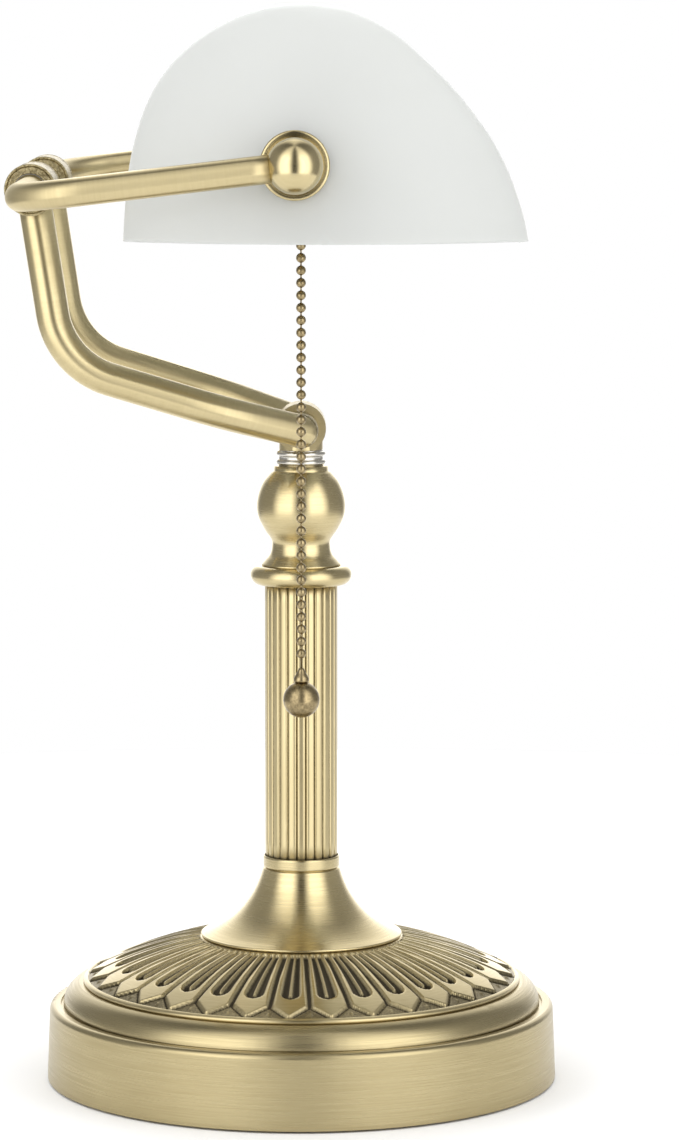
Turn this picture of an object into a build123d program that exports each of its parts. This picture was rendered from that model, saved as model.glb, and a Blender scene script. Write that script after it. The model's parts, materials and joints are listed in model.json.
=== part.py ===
from build123d import *
import math
import os

# Desk lamp with a glass trough shade, in millimetres.
# Z is up, the origin is the middle of the felt's underside, the user sits at -Y,
# and X runs along the shade. "left" is -X and "right" is +X.

# ---- driving dimensions: foot and column ----
base_r = 90.0  # foot of the base wall
base_top_r = 89.1
ledge_z = 27.0
ring_top_z = 34.6  # seat of the petal dome
dome_r = 77.2
dome_top_z = 51.0  # seat of the bell skirt
skirt_r = 35.5
skirt_top_z = 75.0
sheet = 2.0  # wall of the spun and cast covers
column_r = 12.7
column_bore_r = 10.2
column_z = (76.7, 178.0)
reed_count = 24
cap_z = (176.0, 182.4)
cap_r = 17.9
vase_top_z = 217.4
pipe_r = 5.0
pipe_bore_r = 3.6
pipe_z = (6.0, 227.0)

# ---- driving dimensions: arms, pivots and shade ----
knuckle_z = 231.0
knuckle_r = 8.7
knuckle_half = 7.0  # half the width of the post's head
pin_r = 2.5
running = 0.06  # radial clearance of a pin that turns in its bore
tube_r = 5.7
tube_bore_r = 4.6
eye_r = 6.0
elbow_y, elbow_z = 90.8, 315.7
barrel_r = 8.76
barrel_x = (30.0, 58.0)
yoke_r = 4.65
yoke_bore_r = 3.6
yoke_x = 141.0
yoke_bend = 22.0
pivot_y, pivot_z = 2.0, 326.2
ball_r = 9.15
ball_x = yoke_x
cup_r = 11.25
cup_x = (132.0, 136.2)
nipple_r = 4.8
shade_rim_z = 300.8
glass_wall = 3.0
end_sphere_r = 108.7  # the shallow domes that close the trough
end_sphere_x = 24.3
lead_r = 1.4

# ---- driving dimensions: socket, bulb and pull chain ----
socket_r = 17.0
socket_x = (-114.0, -64.0)
chain_x, chain_y = -85.0, 0.0
mouth_z = (304.0, 310.8)  # the spout that the chain hangs from
bead_r = 1.65
bead_pitch = 4.12
link_r = 0.5
pull_ball_r = 6.1
pull_ball_z = 147.2

parts = {}


def turned(start, *steps):
    """Revolve a closed outline of (radius, z) points about Z.

    A step that is a point draws a line, a list of two points an arc through the
    first, and a longer list a smooth curve through all its points.
    """
    here, edges = start, []
    for step in steps + (start,):
        ends = [step] if isinstance(step, tuple) else step
        points = [(r, 0, z) for r, z in [here, *ends]]
        if len(ends) == 1:
            edges.append(Line(*points))
        elif len(ends) == 2:
            edges.append(ThreePointArc(*points))
        else:
            edges.append(Spline(*points))
        here = ends[-1]
    return revolve(Face(Wire(edges)), axis=Axis.Z)


def disc(radius, low, high, bore=0.0):
    """A round plate about Z from one height to another."""
    solid = Pos(0, 0, (low + high) / 2) * Cylinder(radius, high - low)
    if bore:
        solid -= Pos(0, 0, (low + high) / 2) * Cylinder(bore, 2 * (high - low))
    return solid


def roller(radius, low, high, y, z, bore=0.0):
    """A round bar along X between two X values, with a through bore."""
    place = Pos((low + high) / 2, y, z) * Rot(0, 90, 0)
    solid = place * Cylinder(radius, high - low)
    if bore:
        solid -= place * Cylinder(bore, 2 * (high - low))
    return solid


def pipe_along(path, radius, bore=0.0):
    """A round tube that follows a path."""
    section = Circle(radius)
    if bore:
        section -= Circle(bore)
    return sweep(Plane(origin=path @ 0, z_dir=path % 0) * section, path=path)


def ball_at(radius, x, y, z):
    """A ball whose poles lie along X, in line with the pivot that runs through it."""
    return Pos(x, y, z) * Rot(0, 90, 0) * Sphere(radius)


def both_sides(solid):
    """The solid and its mirror image across the lamp's middle, as one group."""
    return Compound(children=[solid, mirror(solid, about=Plane.YZ)])


# ---- foot ----
def make_foot():
    parts["felt_pad"] = disc(86.0, 0.0, 1.6)
    parts["bottom_cover"] = disc(86.4, 1.6, 2.6)
    shell = turned(
        (base_r, 0.8),
        (base_r, 2.0),
        (base_top_r, 25.0),
        [(88.5, 26.4), (87.1, ledge_z)],
        (85.3, ledge_z),
        (85.3, 26.3),
        (84.3, 26.3),
        [(82.7, 31.6), (78.6, ring_top_z)],
        (70.0, ring_top_z),
        (70.0, ring_top_z - sheet),
        (77.6, ring_top_z - sheet),
        [(80.8, 29.6), (82.0, 24.6)],
        (86.7, 24.6),
        (87.5, 0.8),
    )
    cord_way = Pos(0, base_r, 10.0) * Rot(90, 0, 0)
    parts["base_shell"] = shell - cord_way * Cylinder(5.0, 12.0)
    bushing = cord_way * Cylinder(5.0, 5.0) - cord_way * Cylinder(3.3, 12.0)
    wall_room = disc(88.9, 0.0, 30.0) - disc(86.2, 0.0, 30.0)
    parts["cord_bushing"] = bushing & wall_room
    weight = disc(81.6, 8.0, 24.4, bore=pipe_r + 0.2)
    weight -= disc(17.0, 8.0, 13.0)
    weight -= Pos(0, 52.0, 8.0) * Box(9.0, 74.0, 9.0)
    parts["base_weight"] = weight
    parts["hold_down_washer"] = disc(14.5, 11.2, 13.0, bore=pipe_r)
    parts["lock_washer"] = disc(8.6, 10.0, 11.2, bore=pipe_r)
    nut = Pos(0, 0, 6.4) * extrude(RegularPolygon(8.0, 6), 3.6)
    parts["hex_nut"] = nut - disc(pipe_r, 5.0, 12.0)
    pipe = disc(pipe_r, *pipe_z, bore=pipe_bore_r)
    parts["threaded_pipe"] = pipe
    parts["column_lead"] = disc(lead_r, pipe_z[0] + 1.0, pipe_z[1] - 1.0)


def make_dome():
    parts["petal_dome"] = turned(
        (dome_r - 0.4, ring_top_z),
        [(dome_r, ring_top_z + 0.8), (dome_r - 0.6, ring_top_z + 1.6)],
        [(55.0, 45.5), (33.0, dome_top_z)],
        (pipe_r, dome_top_z),
        (pipe_r, dome_top_z - sheet),
        (31.0, dome_top_z - sheet),
        [(53.0, 43.4), (73.0, ring_top_z)],
    )
    parts["bell_skirt"] = turned(
        (skirt_r - 0.3, dome_top_z),
        [(skirt_r, dome_top_z + 0.4), (skirt_r - 0.5, dome_top_z + 0.9)],
        [(27.1, 55.6), (20.5, 61.3), (16.5, 67.2), (14.2, 72.7), (13.3, skirt_top_z)],
        (pipe_r, skirt_top_z),
        (pipe_r, skirt_top_z - 2.5),
        (11.6, skirt_top_z - 2.5),
        [(14.6, 66.0), (18.6, 60.0), (25.4, 54.2), (32.6, dome_top_z)],
    )


def make_column():
    parts["column_ring"] = turned(
        (12.7, skirt_top_z),
        [(13.3, skirt_top_z + 0.3), (13.46, skirt_top_z + 1.0)],
        (13.46, skirt_top_z + 4.0),
        [(13.3, skirt_top_z + 4.5), (12.85, skirt_top_z + 4.7)],
        (12.85, column_z[0]),
        (pipe_r, column_z[0]),
        (pipe_r, skirt_top_z),
    )
    reed_r = 1.65
    reeds = Circle(column_r - 0.9)
    reeds += [place * Circle(reed_r) for place in PolarLocations(column_r - reed_r, reed_count)]
    section = reeds - Circle(column_bore_r)
    parts["fluted_column"] = Pos(0, 0, column_z[0]) * extrude(section, column_z[1] - column_z[0])
    parts["cap_flange"] = turned(
        (12.85, cap_z[0]),
        (15.6, cap_z[0]),
        [(cap_r, cap_z[0] + 3.1), (15.8, cap_z[1])],
        (pipe_r, cap_z[1]),
        (pipe_r, column_z[1]),
        (12.85, column_z[1]),
    )
    swell = [(12.4, 2.3), (10.9, 4.1), (10.3, 6.4), (10.45, 9.0), (12.9, 12.7),
             (15.05, 17.0), (15.65, 21.2), (14.9, 25.5), (13.1, 29.7), (10.45, 32.9)]
    parts["vase"] = turned(
        (13.9, cap_z[1]),
        (13.7, cap_z[1] + 0.8),
        [(r, cap_z[1] + height) for r, height in swell],
        (9.5, vase_top_z - 1.6),
        (9.5, vase_top_z),
        (pipe_r, vase_top_z),
        (pipe_r, cap_z[1]),
    )
    ring_height = 2.9
    rings = []
    for count in range(2):
        low = vase_top_z + count * ring_height
        rings.append(turned(
            (7.9, low),
            (7.9, low + 0.7),
            [(8.8, low + 1.6), (7.9, low + 2.5)],
            (7.9, low + ring_height),
            (pipe_r, low + ring_height),
            (pipe_r, low),
        ))
    parts["neck_rings"] = Compound(children=rings)
    stem_low = vase_top_z + 2 * ring_height
    post = disc(7.6, stem_low, stem_low + 1.4)
    post += disc(7.6, stem_low, knuckle_z) & Pos(0, 0, knuckle_z) * Box(2 * knuckle_half, 40, 40)
    head = roller(knuckle_r, -knuckle_half, knuckle_half, 0, knuckle_z)
    post += head - disc(20.0, 200.0, stem_low)
    post -= disc(pipe_r, stem_low - 1.0, pipe_z[1])
    post -= roller(pin_r + running, -20.0, 20.0, 0, knuckle_z)
    parts["knuckle_post"] = post


# ---- lower arms ----
def arm_path(side):
    """Centre line of a lower tube, from the knuckle back and up to the elbow."""
    return FilletPolyline(
        (side * 17.0, 0.0, knuckle_z),
        (side * 38.0, 27.0, 239.1),
        (side * 42.0, 81.7, 255.8),
        (side * 44.0, elbow_y, elbow_z),
        radius=[42.0, 28.0],
    )


def make_lower_arms():
    washer_x = (knuckle_half + 0.02, knuckle_half + 0.8)
    washer = roller(6.3, *washer_x, 0, knuckle_z, bore=pin_r)
    parts["knuckle_washers"] = both_sides(washer)
    parts["knuckle_pin"] = roller(pin_r, -16.0, 16.0, 0, knuckle_z)
    for name, side in (("left", -1), ("right", 1)):
        ends = sorted((side * washer_x[1], side * 20.5))
        eye = roller(eye_r, *ends, 0, knuckle_z)
        eye = fillet(eye.edges().filter_by(GeomType.CIRCLE).sort_by(Axis.X)[0 if side < 0 else -1], 3.5)
        eye -= roller(pin_r, -16.0, 16.0, 0, knuckle_z)
        parts[f"arm_eye_{name}"] = eye
        path = arm_path(side)
        tube = pipe_along(path, tube_r, tube_bore_r)
        elbow_ends = sorted((side * barrel_x[0], side * barrel_x[1]))
        eye_room = roller(eye_r, *sorted((0.0, side * 24.0)), 0, knuckle_z)
        tube -= eye_room
        tube -= roller(barrel_r, *elbow_ends, elbow_y, elbow_z)
        parts[f"lower_tube_{name}"] = max(tube.solids(), key=lambda s: s.volume)
        barrel = roller(barrel_r, *elbow_ends, elbow_y, elbow_z, bore=yoke_r + running)
        for face_x in elbow_ends:
            recess = roller(barrel_r - 0.9, face_x - 0.6, face_x + 0.6, elbow_y, elbow_z)
            barrel -= recess - roller(5.7, face_x - 2.0, face_x + 2.0, elbow_y, elbow_z)
        parts[f"elbow_barrel_{name}"] = barrel
    lead = pipe_along(arm_path(-1), lead_r)
    lead -= roller(eye_r + 0.5, -30.0, 30.0, 0, knuckle_z)
    lead -= roller(barrel_r + 0.5, -60.0, 0.0, elbow_y, elbow_z)
    parts["arm_lead"] = max(lead.solids(), key=lambda s: s.volume)


# ---- yoke ----
def yoke_path():
    """Centre line of the yoke: arm, crossbar through both barrels, arm."""
    return FilletPolyline(
        (-yoke_x, pivot_y, pivot_z),
        (-yoke_x, elbow_y, elbow_z),
        (yoke_x, elbow_y, elbow_z),
        (yoke_x, pivot_y, pivot_z),
        radius=yoke_bend,
    )


def make_yoke():
    tube = pipe_along(yoke_path(), yoke_r, yoke_bore_r)
    for side in (-1, 1):
        tube -= ball_at(ball_r, side * ball_x, pivot_y, pivot_z)
    parts["yoke_tube"] = max(tube.solids(), key=lambda s: s.volume)
    out = barrel_x[1]
    washer = roller(5.5, out + 0.05, out + 0.55, elbow_y, elbow_z, bore=yoke_r)
    collar = roller(5.3, out + 0.6, out + 2.4, elbow_y, elbow_z, bore=yoke_r)
    parts["elbow_wave_washers"] = both_sides(washer)
    parts["elbow_collars"] = both_sides(collar)
    for name, side in (("left", -1), ("right", 1)):
        ball = ball_at(ball_r, side * ball_x, pivot_y, pivot_z)
        inner = sorted((side * (ball_x - 12.0), side * (ball_x + 1.0)))
        ball -= roller(nipple_r + running, *inner, pivot_y, pivot_z)
        parts[f"ball_{name}"] = ball
    slope = (elbow_z - pivot_z) / (elbow_y - pivot_y)
    near, far = 12.0, elbow_y - yoke_bend - 4.0
    arm_ends = [(-yoke_x, pivot_y + along, pivot_z + along * slope) for along in (near, far)]
    parts["yoke_lead"] = pipe_along(Line(*arm_ends), lead_r)


# ---- shade ----
def trough(inset):
    """The trough's outer form, made smaller all round by inset, open rim downwards."""
    back = [(58.3, 290.0), (57.9, 300.8), (56.3, 321.8), (50.1, 345.6), (37.5, 362.8)]
    front = [(19.7, 373.8), (0.3, 377.6), (-16.4, 375.4), (-41.1, 359.0), (-60.9, 335.7),
             (-70.6, 314.9), (-74.1, 300.8), (-76.2, 290.0)]
    edge = Plane.YZ * Spline(*back, *front)
    if inset:
        stations = [edge @ (n / 12) - inset * (edge % (n / 12)).cross(Vector(1, 0, 0)) for n in range(13)]
        edge = Spline(*stations)
    face = Face(Wire([edge, Line(edge @ 1, edge @ 0)]))
    half = extrude(face, 140.0, dir=(-1, 0, 0))
    half &= ball_at(end_sphere_r - inset, -end_sphere_x, -8.0, shade_rim_z)
    half -= Pos(0, 0, shade_rim_z - 50.0) * Box(400, 400, 100)
    return half + mirror(half, about=Plane.YZ)


def make_shade():
    outer, inner = trough(0.0), trough(glass_wall)
    corners = [e for e in outer.edges() if e.center().Z > shade_rim_z + 1.0 and abs(e.center().X) > 60.0]
    outer = fillet(corners, 4.0)
    glass = outer - inner
    glass -= roller(nipple_r + 0.4, -150.0, 150.0, pivot_y, pivot_z)
    parts["shade_glass"] = glass
    inner_x = 121.5
    outside = roller(cup_r - 1.2, -cup_x[0], -120.0, pivot_y, pivot_z, bore=nipple_r) - outer
    inside = roller(cup_r - 1.2, -130.0, -inner_x, pivot_y, pivot_z, bore=nipple_r) & inner
    parts["outer_glass_washers"] = both_sides(max(outside.solids(), key=lambda s: s.volume))
    parts["inner_glass_washers"] = both_sides(max(inside.solids(), key=lambda s: s.volume))
    nut = Pos(-inner_x + 4.0, pivot_y, pivot_z) * Rot(0, -90, 0) * extrude(RegularPolygon(8.5, 6), 4.0)
    nut -= roller(nipple_r, -130.0, -110.0, pivot_y, pivot_z)
    parts["shade_nuts"] = both_sides(nut)
    for name, side in (("left", -1), ("right", 1)):
        cup = roller(cup_r, *sorted((side * cup_x[0], side * cup_x[1])), pivot_y, pivot_z)
        cup = fillet(cup.edges().filter_by(GeomType.CIRCLE), 0.9)
        cup -= ball_at(ball_r + 0.3, side * ball_x, pivot_y, pivot_z)
        cup -= roller(nipple_r, -150.0, 150.0, pivot_y, pivot_z)
        parts[f"cup_{name}"] = cup
        ends = sorted((side * 112.0, side * 141.0))
        parts[f"nipple_{name}"] = roller(nipple_r, *ends, pivot_y, pivot_z, bore=3.4)


def make_socket():
    y, z = pivot_y, pivot_z
    low, high = socket_x
    cap = roller(socket_r, low, -99.0, y, z)
    cap = fillet(cap.edges().filter_by(GeomType.CIRCLE).sort_by(Axis.X)[0], 6.0)
    hollow = roller(socket_r - 1.2, low + 1.2, -98.0, y, z)
    cap -= fillet(hollow.edges().filter_by(GeomType.CIRCLE).sort_by(Axis.X)[0], 4.8)
    cap -= roller(nipple_r, low - 5.0, -98.0, y, z)
    parts["socket_cap"] = cap
    shell = roller(socket_r, -99.0, high, y, z, bore=socket_r - 1.0)
    mouth_way = Pos(chain_x, chain_y, z - socket_r) * Cylinder(3.4, 20.0)
    parts["socket_shell"] = shell - mouth_way
    liner = roller(socket_r - 1.0, -92.0, high, y, z, bore=socket_r - 1.8)
    parts["socket_liner"] = liner - mouth_way
    parts["screw_shell"] = roller(14.0, -86.0 + 9.0, high - 1.0, y, z, bore=13.2)
    body = roller(15.1, -97.0, -78.0, y, z)
    body -= Pos(chain_x, chain_y, z - 10.0) * Cylinder(1.9, 24.0)
    parts["switch_body"] = body
    parts["centre_contact"] = roller(3.5, -78.0, -76.6, y, z)
    parts["chain_mouth"] = Pos(chain_x, chain_y, 0) * disc(3.3, *mouth_z, bore=1.9)


def make_bulb():
    y, z = pivot_y, pivot_z
    parts["bulb_cap"] = roller(13.1, -74.0, -52.0, y, z, bore=12.2)
    parts["bulb_tip"] = roller(4.8, -76.5, -74.0, y, z)
    envelope = roller(15.0, -52.0, 62.0, y, z)
    rounded = envelope.edges().filter_by(GeomType.CIRCLE).sort_by(Axis.X)
    envelope = fillet(rounded[-1], 12.0)
    core = roller(14.2, -51.0, 61.2, y, z)
    core = fillet(core.edges().filter_by(GeomType.CIRCLE).sort_by(Axis.X)[-1], 11.2)
    parts["bulb_envelope"] = envelope - core
    parts["bulb_filament"] = roller(1.2, -51.0, 50.0, y, z)


def make_chain():
    top = mouth_z[0] + 0.6
    parts["pull_eyelet"] = Pos(chain_x, chain_y, 0) * disc(1.7, top + 0.4, 320.0, bore=0.6)
    bell_top = pull_ball_z + pull_ball_r + 4.2
    count = int((top - bell_top) // bead_pitch)
    half_gap = math.sqrt(bead_r**2 - link_r**2)
    steps = []
    for number in range(count):
        middle = bell_top + bead_pitch * (number + 0.5)
        steps.append((link_r, middle - half_gap))
        steps.append([(bead_r, middle), (link_r, middle + half_gap)])
    steps.append((link_r, top))
    steps.append((0.0, top))
    parts["pull_chain"] = turned((0.0, bell_top), (link_r, bell_top), *steps)
    parts["chain_bell"] = turned(
        (0.0, bell_top),
        (1.4, bell_top),
        [(2.3, bell_top - 2.0), (2.6, bell_top - 4.6)],
        (0.0, bell_top - 4.6),
    )
    ball = Pos(0, 0, pull_ball_z) * Sphere(pull_ball_r)
    parts["pull_ball"] = ball - disc(2.6, bell_top - 4.6, bell_top)
    for name in ("pull_chain", "chain_bell", "pull_ball"):
        parts[name] = Pos(chain_x, chain_y, 0) * parts[name]


make_foot()
make_dome()
make_column()
make_lower_arms()
make_yoke()
make_shade()
make_socket()
make_bulb()
make_chain()

os.makedirs("parts", exist_ok=True)
for name, solid in parts.items():
    export_step(solid, f"parts/{name}.step")
print(len(parts), "nodes")
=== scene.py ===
"""Desk lamp with a round brass foot, a reeded column, hinged twin arms and an opal glass shade."""

import json
import math

import bmesh
import bpy
import numpy as np
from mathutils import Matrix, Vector


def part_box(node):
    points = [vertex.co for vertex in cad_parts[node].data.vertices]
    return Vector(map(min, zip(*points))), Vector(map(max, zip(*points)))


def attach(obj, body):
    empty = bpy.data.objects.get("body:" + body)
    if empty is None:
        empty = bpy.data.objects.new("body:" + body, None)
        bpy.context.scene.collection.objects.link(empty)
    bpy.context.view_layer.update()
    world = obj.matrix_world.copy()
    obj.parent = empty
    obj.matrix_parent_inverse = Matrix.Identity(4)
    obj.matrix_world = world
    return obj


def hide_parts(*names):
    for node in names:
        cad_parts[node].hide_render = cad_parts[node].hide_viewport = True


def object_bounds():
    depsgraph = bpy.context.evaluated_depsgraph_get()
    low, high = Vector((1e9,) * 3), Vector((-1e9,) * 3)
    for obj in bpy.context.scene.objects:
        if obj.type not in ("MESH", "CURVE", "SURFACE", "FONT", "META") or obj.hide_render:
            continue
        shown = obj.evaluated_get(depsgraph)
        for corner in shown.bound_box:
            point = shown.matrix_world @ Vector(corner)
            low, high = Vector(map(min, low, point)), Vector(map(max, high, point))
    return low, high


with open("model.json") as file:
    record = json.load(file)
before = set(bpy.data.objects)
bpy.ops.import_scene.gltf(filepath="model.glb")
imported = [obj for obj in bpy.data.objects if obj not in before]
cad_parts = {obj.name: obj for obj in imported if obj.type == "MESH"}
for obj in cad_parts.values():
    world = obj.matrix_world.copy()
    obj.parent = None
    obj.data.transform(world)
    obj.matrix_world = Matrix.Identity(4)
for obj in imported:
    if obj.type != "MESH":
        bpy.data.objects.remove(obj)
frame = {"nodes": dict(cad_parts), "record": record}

bl_info = {
    "name": "Brass Desk Lamp",
    "version": (1, 0, 0),
    "blender": (4, 5, 0),
    "location": "3D View > Sidebar > Lamp",
    "description": "Makes a brass desk lamp with a swivelling glass shade, piece by piece",
    "category": "Add Mesh",
}

MM = 0.001
TURN = 2 * math.pi
CAD_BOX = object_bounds()


def low(node):
    """Lowest corner of a CAD node, in metres."""
    return np.array(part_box(node)[0], float)


def high(node):
    """Highest corner of a CAD node, in metres."""
    return np.array(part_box(node)[1], float)


def middle(node):
    """Centre of a CAD node's box, in metres."""
    return (low(node) + high(node)) / 2


# ---------------------------------------------------------------- settings


class LampSizes(bpy.types.PropertyGroup):
    """Sizes of the surface detail that the frame doesn't fix."""

    petals: bpy.props.IntProperty(name="Petals", description="Petals round the dome", default=32, min=6)
    petal_turn: bpy.props.FloatProperty(
        name="Petal turn", description="Angle of the first petal from +X",
        default=math.radians(176.6), subtype="ANGLE")
    relief: bpy.props.FloatProperty(
        name="Relief", description="Depth of the grooves between petals", default=0.0016, unit="LENGTH")
    reeds: bpy.props.IntProperty(name="Reeds", description="Convex reeds round the column", default=24, min=8)
    reed_depth: bpy.props.FloatProperty(
        name="Reed depth", description="Depth of the grooves between reeds", default=0.00105, unit="LENGTH")
    bead_pitch: bpy.props.FloatProperty(
        name="Bead pitch", description="Distance from bead to bead", default=0.00412, unit="LENGTH")
    bead_radius: bpy.props.FloatProperty(
        name="Bead radius", description="Radius of a chain bead", default=0.00165, unit="LENGTH")
    glass_edge: bpy.props.FloatProperty(
        name="Glass edge", description="Rounding where the shade's roof meets its ends",
        default=0.004, unit="LENGTH")


class LampColours(bpy.types.PropertyGroup):
    """Colours of the lamp's finishes."""

    brass: bpy.props.FloatVectorProperty(
        name="Brass", description="Brushed antique brass", subtype="COLOR",
        size=3, default=(0.62, 0.525, 0.305))
    brass_dark: bpy.props.FloatVectorProperty(
        name="Dark brass", description="Darker streaks and edges of the brass", subtype="COLOR",
        size=3, default=(0.43, 0.345, 0.175))
    patina: bpy.props.FloatVectorProperty(
        name="Patina", description="Dark patina in grooves", subtype="COLOR",
        size=3, default=(0.038, 0.032, 0.025))
    bronze: bpy.props.FloatVectorProperty(
        name="Bronze", description="Chain and pull ball", subtype="COLOR", size=3, default=(0.42, 0.33, 0.18))
    glass: bpy.props.FloatVectorProperty(
        name="Opal glass", description="Opal glass of the shade", subtype="COLOR",
        size=3, default=(0.605, 0.617, 0.600))
    floor: bpy.props.FloatVectorProperty(
        name="Floor", description="Pale studio floor", subtype="COLOR", size=3, default=(0.97, 0.97, 0.97))


def sizes():
    """The lamp's sizes, as the scene holds them."""
    return bpy.context.scene.lamp_sizes


def colours():
    """The lamp's colours, as the scene holds them."""
    return bpy.context.scene.lamp_colours


# ---------------------------------------------------------------- outlines and paths


def smooth_curve(points, per_span=8):
    """Curve through the points by cubics whose end slopes are half the chord between the neighbours."""
    p = np.asarray(points, float)
    p = np.concatenate([[2 * p[0] - p[1]], p, [2 * p[-1] - p[-2]]])
    a, b, c, d = (q[:, None] for q in (p[:-3], p[1:-2], p[2:-1], p[3:]))
    t = np.linspace(0, 1, per_span, endpoint=False)[None, :, None]
    span = 0.5 * (2 * b + (c - a) * t + (2 * a - 5 * b + 4 * c - d) * t**2 + (3 * b - a - 3 * c + d) * t**3)
    return np.concatenate([span.reshape(-1, p.shape[1]), p[-2:-1]])


def arc_through(start, by, end, count=12):
    """Points on the circle through three points, evenly spaced by angle from the first to the last."""
    (ax, ay), (bx, by_), (cx, cy) = start, by, end
    d = 2 * (ax * (by_ - cy) + bx * (cy - ay) + cx * (ay - by_))
    sa, sb, sc = ax * ax + ay * ay, bx * bx + by_ * by_, cx * cx + cy * cy
    ox = (sa * (by_ - cy) + sb * (cy - ay) + sc * (ay - by_)) / d
    oy = (sa * (cx - bx) + sb * (ax - cx) + sc * (bx - ax)) / d
    first, mid, last = (math.atan2(y - oy, x - ox) for x, y in (start, by, end))
    turn, part = (last - first) % TURN, (mid - first) % TURN
    if part > turn:
        turn -= TURN
    angle = first + turn * np.linspace(0, 1, count)
    return np.stack([ox + math.hypot(ax - ox, ay - oy) * np.cos(angle),
                     oy + math.hypot(ax - ox, ay - oy) * np.sin(angle)], axis=1)


def rounded(points, radius, steps=4):
    """Closed outline with each corner eased.

    A corner becomes the quadratic curve from radius before it to radius after it, pulled towards the corner,
    with one more point on each side that keeps the flats flat. The ease never passes 0.4 of a side.
    """
    p = np.asarray(points, float)
    back, ahead = np.roll(p, 1, axis=0) - p, np.roll(p, -1, axis=0) - p
    lb, la = (np.linalg.norm(v, axis=1, keepdims=True) for v in (back, ahead))
    ease = np.minimum(np.broadcast_to(np.reshape(radius, (-1, 1)), lb.shape), 0.4 * np.minimum(lb, la))
    back, ahead = back / lb * ease, ahead / la * ease
    t = np.linspace(0, 1, steps)[None, :, None]
    p3 = p[:, None]
    curve = p3 + back[:, None] * (1 - t) ** 2 + ahead[:, None] * t**2
    eased = np.concatenate([p3 + 1.25 * back[:, None], curve, p3 + 1.25 * ahead[:, None]], axis=1)
    return eased.reshape(-1, 2)


def bent_path(points, radii, turn_step=math.radians(4)):
    """Straight runs joined by tangent arcs: each arc touches both runs at radius times tan(half the turn)."""
    p = np.asarray(points, float)
    out = [p[0]]
    for before, corner, after, radius in zip(p[:-2], p[1:-1], p[2:], radii):
        a = (before - corner) / np.linalg.norm(before - corner)
        b = (after - corner) / np.linalg.norm(after - corner)
        half = (math.pi - math.acos(np.clip(a @ b, -1, 1))) / 2
        middle_way = (a + b) / np.linalg.norm(a + b)
        centre = corner + middle_way * radius / math.cos(half)
        outward, along = -middle_way, (b - a) / np.linalg.norm(b - a)
        angle = np.linspace(-half, half, max(4, math.ceil(2 * half / turn_step)))[:, None]
        out.extend(centre + radius * (outward * np.cos(angle) + along * np.sin(angle)))
    out.append(p[-1])
    line = np.array(out)
    span = np.linalg.norm(np.diff(line, axis=0), axis=1)
    length = np.concatenate([[0], np.cumsum(span)])
    parts = np.ceil(span / 0.006).astype(int)
    whole = np.repeat(np.arange(len(span)), parts)
    within = np.arange(parts.sum()) - np.repeat(np.cumsum(parts) - parts, parts)
    at = np.append(length[whole] + span[whole] * within / parts[whole], length[-1])
    return np.stack([np.interp(at, length, line[:, k]) for k in range(3)], axis=1)


# ---------------------------------------------------------------- meshes


def grid_piece(name, points, uv, wrap=(True, False), depth=None, lay=None):
    """A mesh from a grid of points (columns, rows, 3) joined by quads, closed round in the wrapped ways.

    uv holds metres along the surface, one column and row more than the points where that way is wrapped.
    Points that fall together, as at a pole, are merged, and the faces are turned outwards.
    """
    columns, rows = points.shape[:2]
    i, j = np.meshgrid(np.arange(columns - (not wrap[0])), np.arange(rows - (not wrap[1])), indexing="ij")
    i, j = i.ravel(), j.ravel()
    corners = [(i, j), (i + 1, j), (i + 1, j + 1), (i, j + 1)]
    faces = np.stack([(a % columns) * rows + b % rows for a, b in corners], axis=1)
    mesh = bpy.data.meshes.new(name)
    mesh.vertices.add(columns * rows)
    mesh.vertices.foreach_set("co", points.astype(np.float32).ravel())
    mesh.loops.add(faces.size)
    mesh.loops.foreach_set("vertex_index", faces.ravel().astype(np.int32))
    mesh.polygons.add(len(faces))
    mesh.polygons.foreach_set("loop_start", np.arange(0, faces.size, 4, dtype=np.int32))
    mesh.update(calc_edges=True)
    layer = mesh.uv_layers.new(name="brush")
    loop_uv = np.stack([uv[a, b] for a, b in corners], axis=1)
    layer.data.foreach_set("uv", loop_uv.astype(np.float32).ravel())
    if depth is not None:
        attribute = mesh.attributes.new("depth", "FLOAT", "POINT")
        attribute.data.foreach_set("value", depth.astype(np.float32).ravel())
    if lay is not None:
        attribute = mesh.attributes.new("lay", "FLOAT_VECTOR", "POINT")
        attribute.data.foreach_set("vector", lay.astype(np.float32).ravel())
    clean = bmesh.new()
    clean.from_mesh(mesh)
    bmesh.ops.remove_doubles(clean, verts=clean.verts, dist=2e-6)
    bmesh.ops.recalc_face_normals(clean, faces=clean.faces)
    clean.to_mesh(mesh)
    clean.free()
    mesh.validate()
    mesh.polygons.foreach_set("use_smooth", np.ones(len(mesh.polygons), bool))
    obj = bpy.data.objects.new(name, mesh)
    bpy.context.scene.collection.objects.link(obj)
    return obj


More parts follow.
